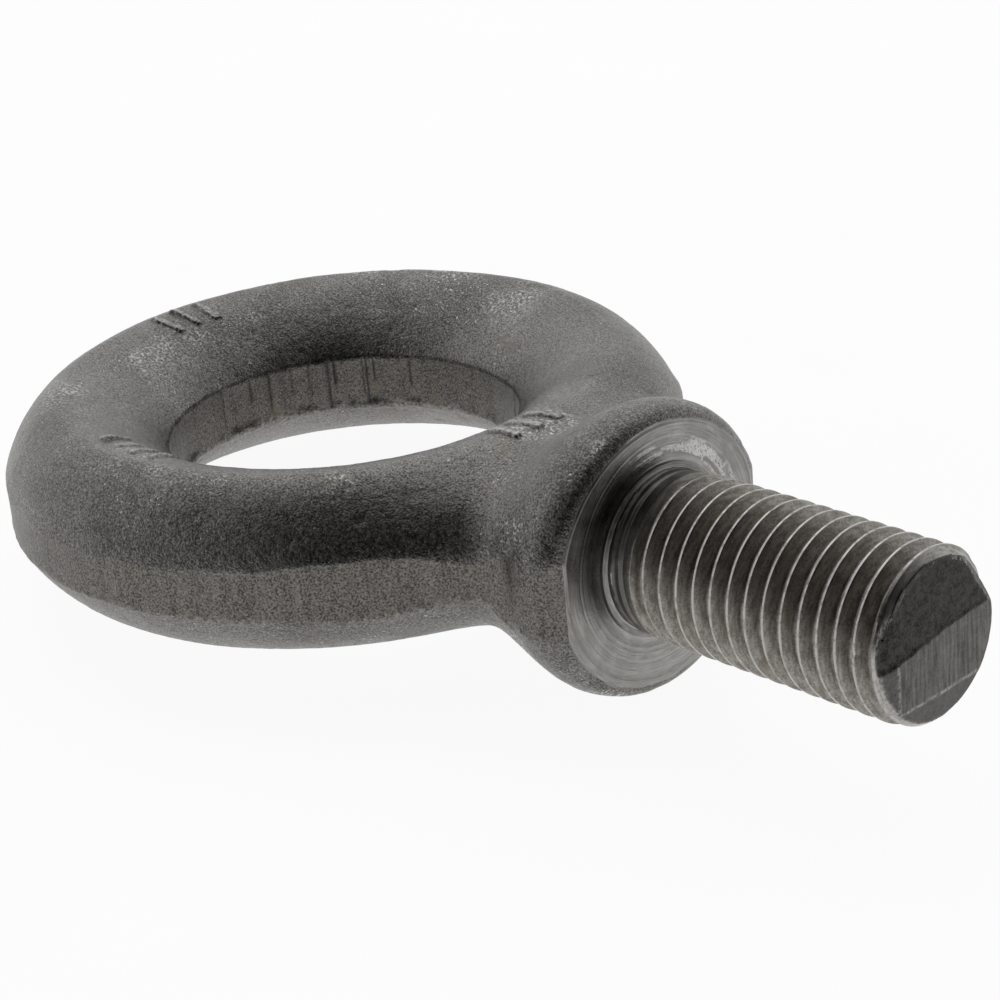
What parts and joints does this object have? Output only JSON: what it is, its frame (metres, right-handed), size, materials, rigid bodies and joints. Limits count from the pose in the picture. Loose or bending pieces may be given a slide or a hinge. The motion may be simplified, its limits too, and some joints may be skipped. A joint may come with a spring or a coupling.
{
  "type": "shoulder eye bolt",
  "caption": "Forged shoulder-pattern lifting eye bolt: round eye, collar with a machined seat and a coarse metric threaded shank.",
  "frame": {"origin": "centre of the collar's seating face, on the shank's axis", "axes": "+X along the shank towards its tip, the eye lies in the XY plane behind the seat, +Z normal to the eye"},
  "size_m": [0.1393, 0.0872, 0.0358],
  "materials": {
    "forged_steel": "dark shot-blasted forging scale",
    "machined_steel": "turned, with concentric tool marks",
    "thread_steel": "machined thread, oiled, with bright crests"
  },
  "bodies": {
    "root": {"eye_ring": "forged_steel", "raised_marks": "forged_steel", "shoulder_collar": "forged_steel", "seating_face": "machined_steel", "threaded_shank": "thread_steel"}
  },
  "joints": []
}
